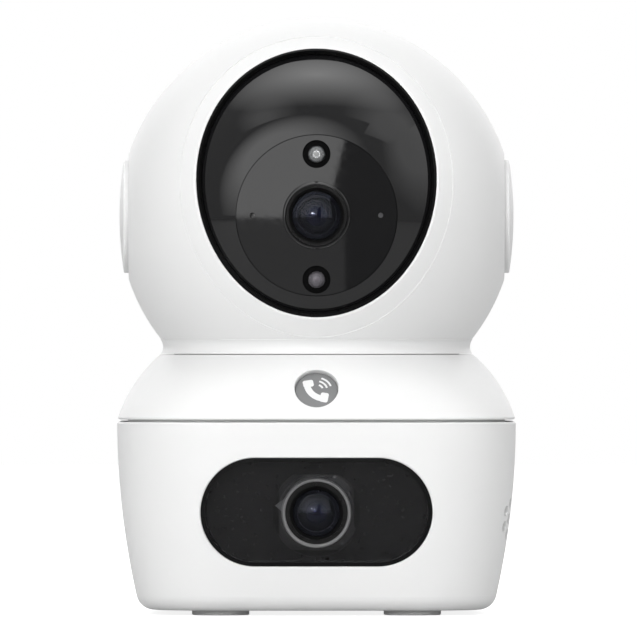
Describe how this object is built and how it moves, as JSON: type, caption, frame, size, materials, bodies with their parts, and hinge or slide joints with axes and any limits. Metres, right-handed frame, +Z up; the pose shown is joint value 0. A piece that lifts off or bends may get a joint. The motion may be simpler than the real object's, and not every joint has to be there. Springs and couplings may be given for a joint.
{
  "type": "security camera",
  "caption": "Indoor home security camera: a ball head pans on a squarish base, a black eye with a lens tilts inside it, and a second lens looks out of a window in the base.",
  "frame": {"origin": "on the table under the middle of the base, at the soles of the feet", "axes": "+Z up, -Y out of the front where both lenses look, +X to the viewer's right"},
  "size_m": [0.08, 0.08, 0.12],
  "materials": {
    "white_plastic": "satin white moulded plastic",
    "black_gloss_plastic": "polished black",
    "black_plastic": "fine matt black",
    "grey_plastic": "satin light grey",
    "smoked_glass": "smoked, polished",
    "lens_glass": "coated glass",
    "clear_resin": "clear cast resin",
    "brass": "turned",
    "rubber": "matt grey rubber",
    "steel": "plated",
    "circuit_board": "green solder mask",
    "chip_plastic": "moulded chip body",
    "sensor": "sensor cover glass",
    "white_nylon": "natural acetal"
  },
  "bodies": {
    "base": {"base_housing": "white_plastic", "base_top_cover": "white_plastic", "bottom_plate": "white_plastic", "tripod_insert": "brass", "rubber_feet": "rubber", "housing_screws": "steel", "lower_window_frame": "black_gloss_plastic", "lower_window": "smoked_glass", "lower_lens_holder": "black_plastic", "lower_lens_ring": "grey_plastic", "lower_lens_barrel": "black_plastic", "lower_lens_glass": "lens_glass", "lower_camera_board": "circuit_board", "lower_image_sensor": "sensor", "board_screws": "steel", "main_board": "circuit_board", "processor_shield": "steel", "board_chips": "chip_plastic", "wire_sockets": "white_nylon", "usb_power_socket": "steel", "memory_card_slot": "steel", "reset_switch": "chip_plastic", "wifi_antenna": "circuit_board", "speaker": "black_plastic", "call_switch_board": "circuit_board", "call_switch": "chip_plastic", "pan_bearing": "white_nylon", "pan_motor": "steel"},
    "call_button": {"call_button": "grey_plastic", "call_button_icon": "white_plastic"},
    "reset_button": {"reset_button": "black_plastic"},
    "pan_pinion": {"pan_pinion": "white_nylon"},
    "head": {"head_front_shell": "white_plastic", "head_rear_shell": "white_plastic", "head_screws": "steel", "window_trim": "black_gloss_plastic", "left_ear_cap": "white_plastic", "right_ear_cap": "white_plastic", "head_frame": "black_plastic", "tilt_bushes": "white_nylon", "tilt_motor": "steel", "pan_gear": "white_nylon", "drive_screws": "steel"},
    "tilt_pinion": {"tilt_pinion": "white_nylon"},
    "eye": {"eye_dome": "black_gloss_plastic", "face_panel": "black_gloss_plastic", "eye_frame": "black_plastic", "tilt_gear": "white_nylon", "upper_lens_holder": "black_plastic", "upper_lens_ring": "black_gloss_plastic", "upper_lens_barrel": "black_plastic", "upper_lens_glass": "lens_glass", "upper_camera_board": "circuit_board", "upper_image_sensor": "sensor", "light_board": "circuit_board", "eye_screws": "steel", "white_led": "clear_resin", "infrared_led": "clear_resin", "light_sensor": "clear_resin", "microphone": "steel"}
  },
  "joints": [
    {"name": "head_pan", "type": "hinge", "parent": "base", "child": "head", "pos_m": [0, 0, 0.04], "axis": [0, 0, 1], "range_deg": [-175, 175]},
    {"name": "eye_tilt", "type": "hinge", "parent": "head", "child": "eye", "pos_m": [0, 0, 0.08], "axis": [-1, 0, 0], "range_deg": [-15, 40]},
    {"name": "pan_pinion_spin", "type": "hinge", "parent": "base", "child": "pan_pinion", "pos_m": [0, 0.024, 0.033], "axis": [0, 0, 1], "range_deg": [-875, 875]},
    {"name": "tilt_pinion_spin", "type": "hinge", "parent": "head", "child": "tilt_pinion", "pos_m": [-0.0267, 0.016, 0.08], "axis": [-1, 0, 0], "range_deg": [-120, 45]},
    {"name": "call_button_press", "type": "slide", "parent": "base", "child": "call_button", "axis": [0, 0.8571, -0.5151], "range_m": [0, 0.0006], "stiffness_N_per_m": 1500},
    {"name": "reset_button_press", "type": "slide", "parent": "base", "child": "reset_button", "axis": [0, -1, 0], "range_m": [0, 0.0005], "stiffness_N_per_m": 1500}
  ],
  "couplings": [
    {"joint": "pan_pinion_spin", "follows": "head_pan", "ratio": -5},
    {"joint": "tilt_pinion_spin", "follows": "eye_tilt", "ratio": -3}
  ]
}
